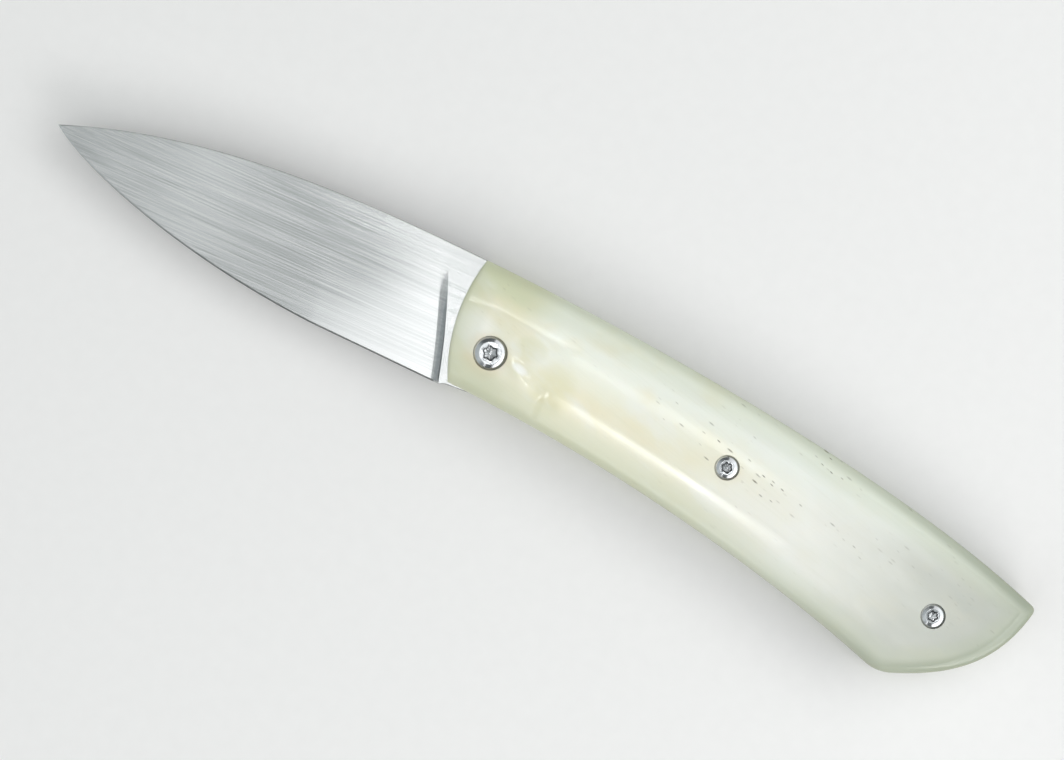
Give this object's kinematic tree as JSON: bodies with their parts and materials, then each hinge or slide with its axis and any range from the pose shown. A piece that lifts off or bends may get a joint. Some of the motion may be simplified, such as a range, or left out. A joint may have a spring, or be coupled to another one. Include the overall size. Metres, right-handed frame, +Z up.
{
  "type": "folding pocket knife",
  "caption": "Folding pocket knife with a satin ground blade, rounded bone scales screwed to steel liners, and a backspring that holds the blade open or closed.",
  "frame": {"origin": "under the middle of the open knife's bounding box, on the surface that it lies on", "axes": "+X from the blade's point towards the handle's tail, +Y towards the knife's back, +Z up out of its left side"},
  "size_m": [0.1744, 0.031, 0.013],
  "materials": {
    "blade_steel": "satin, brushed along the blade",
    "spring_steel": "satin",
    "liner_steel": "satin",
    "bone": "polished bone",
    "screw_steel": "polished",
    "bronze": "satin bronze"
  },
  "bodies": {
    "handle": {"backspring": "spring_steel", "liner_left": "liner_steel", "liner_right": "liner_steel", "scale_left": "bone", "scale_right": "bone", "pivot_barrel": "screw_steel", "pivot_bushing": "bronze", "pivot_washer_left": "bronze", "pivot_washer_right": "bronze", "pivot_screw_left": "screw_steel", "pivot_screw_right": "screw_steel", "spring_pin": "screw_steel", "tail_barrel": "screw_steel", "tail_screw_left": "screw_steel", "tail_screw_right": "screw_steel", "centre_screw_left": "screw_steel", "centre_screw_right": "screw_steel"},
    "blade": {"blade": "blade_steel"}
  },
  "joints": [
    {"name": "blade_pivot", "type": "hinge", "parent": "handle", "child": "blade", "pos_m": [-0.00885, 0.00243, 0.00652], "axis": [0, 0, 1], "range_deg": [0, 174], "deforming": ["backspring"]}
  ]
}
